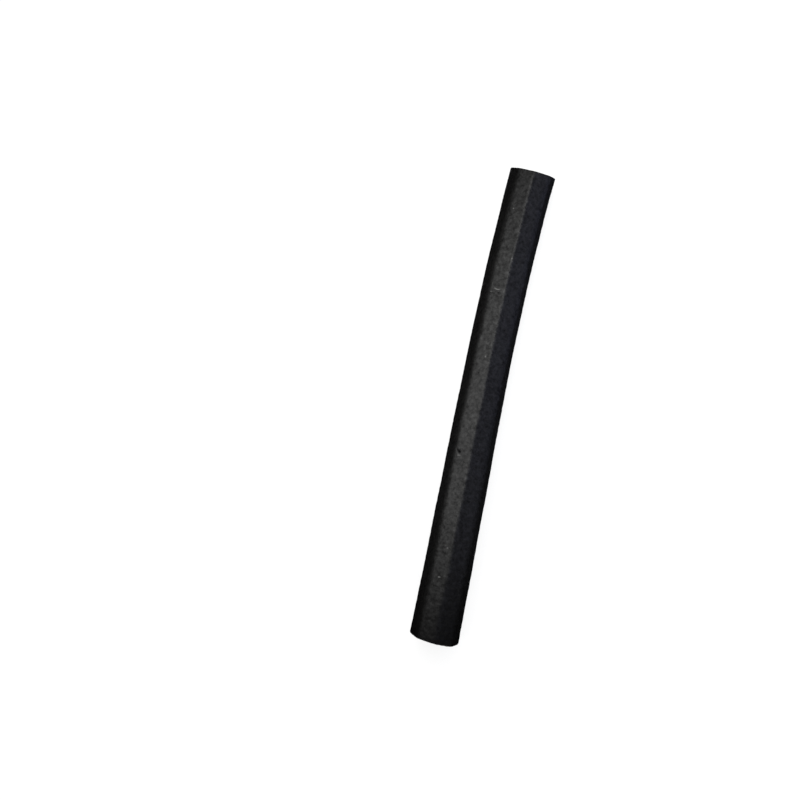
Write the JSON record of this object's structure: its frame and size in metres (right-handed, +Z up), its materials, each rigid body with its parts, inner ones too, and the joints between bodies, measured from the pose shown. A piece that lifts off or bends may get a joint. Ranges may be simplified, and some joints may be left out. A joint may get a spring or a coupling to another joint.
{
  "type": "licorice extract stick",
  "caption": "Near-black faceted stick of hard licorice extract, with a flattened underside and slanted cut ends, to suck or to dissolve.",
  "frame": {"origin": "on the surface that the stick rests on, below the middle of its box", "axes": "+X along the stick to its far end, +Y to its left side, +Z up"},
  "size_m": [0.0984, 0.0098, 0.0088],
  "materials": {
    "licorice_extract": null
  },
  "bodies": {
    "root": {"licorice_stick": "licorice_extract"}
  },
  "joints": []
}
